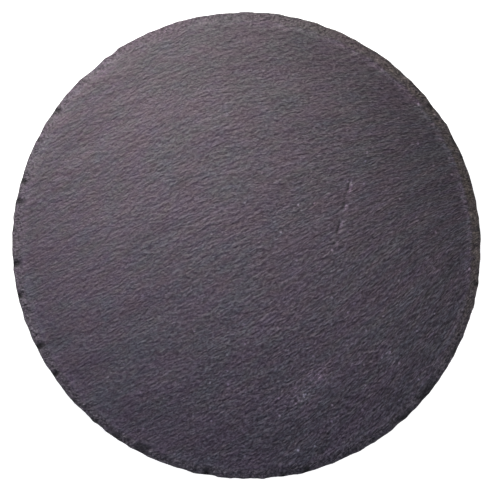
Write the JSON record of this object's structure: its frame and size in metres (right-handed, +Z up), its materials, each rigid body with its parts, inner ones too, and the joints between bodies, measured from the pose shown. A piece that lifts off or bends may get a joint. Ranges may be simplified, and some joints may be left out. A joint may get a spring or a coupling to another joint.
{
  "type": "round slate serving plate",
  "caption": "Round plate of split slate with a riven face and a hand-dressed bevelled edge, resting on small self-adhesive foam feet.",
  "frame": {"origin": "on the table, straight under the middle of the plate", "axes": "+Z up, out of the serving face; +Y towards the back of the plate, +X to its right as it is seen from above"},
  "size_m": [0.3007, 0.2996, 0.0096],
  "materials": {
    "slate": "natural riven slate, purple-grey, dry matt with a faint silky sheen, knapped edge",
    "adhesive": "thin pressure-sensitive film, off-white, satin",
    "foot_foam": "closed-cell EVA foam, black, matt"
  },
  "bodies": {
    "root": {"slate_plate": "slate", "adhesive_disc_back_right": "adhesive", "adhesive_disc_back_left": "adhesive", "adhesive_disc_front_left": "adhesive", "adhesive_disc_front_right": "adhesive", "foot_pad_back_right": "foot_foam", "foot_pad_back_left": "foot_foam", "foot_pad_front_left": "foot_foam", "foot_pad_front_right": "foot_foam"}
  },
  "joints": []
}
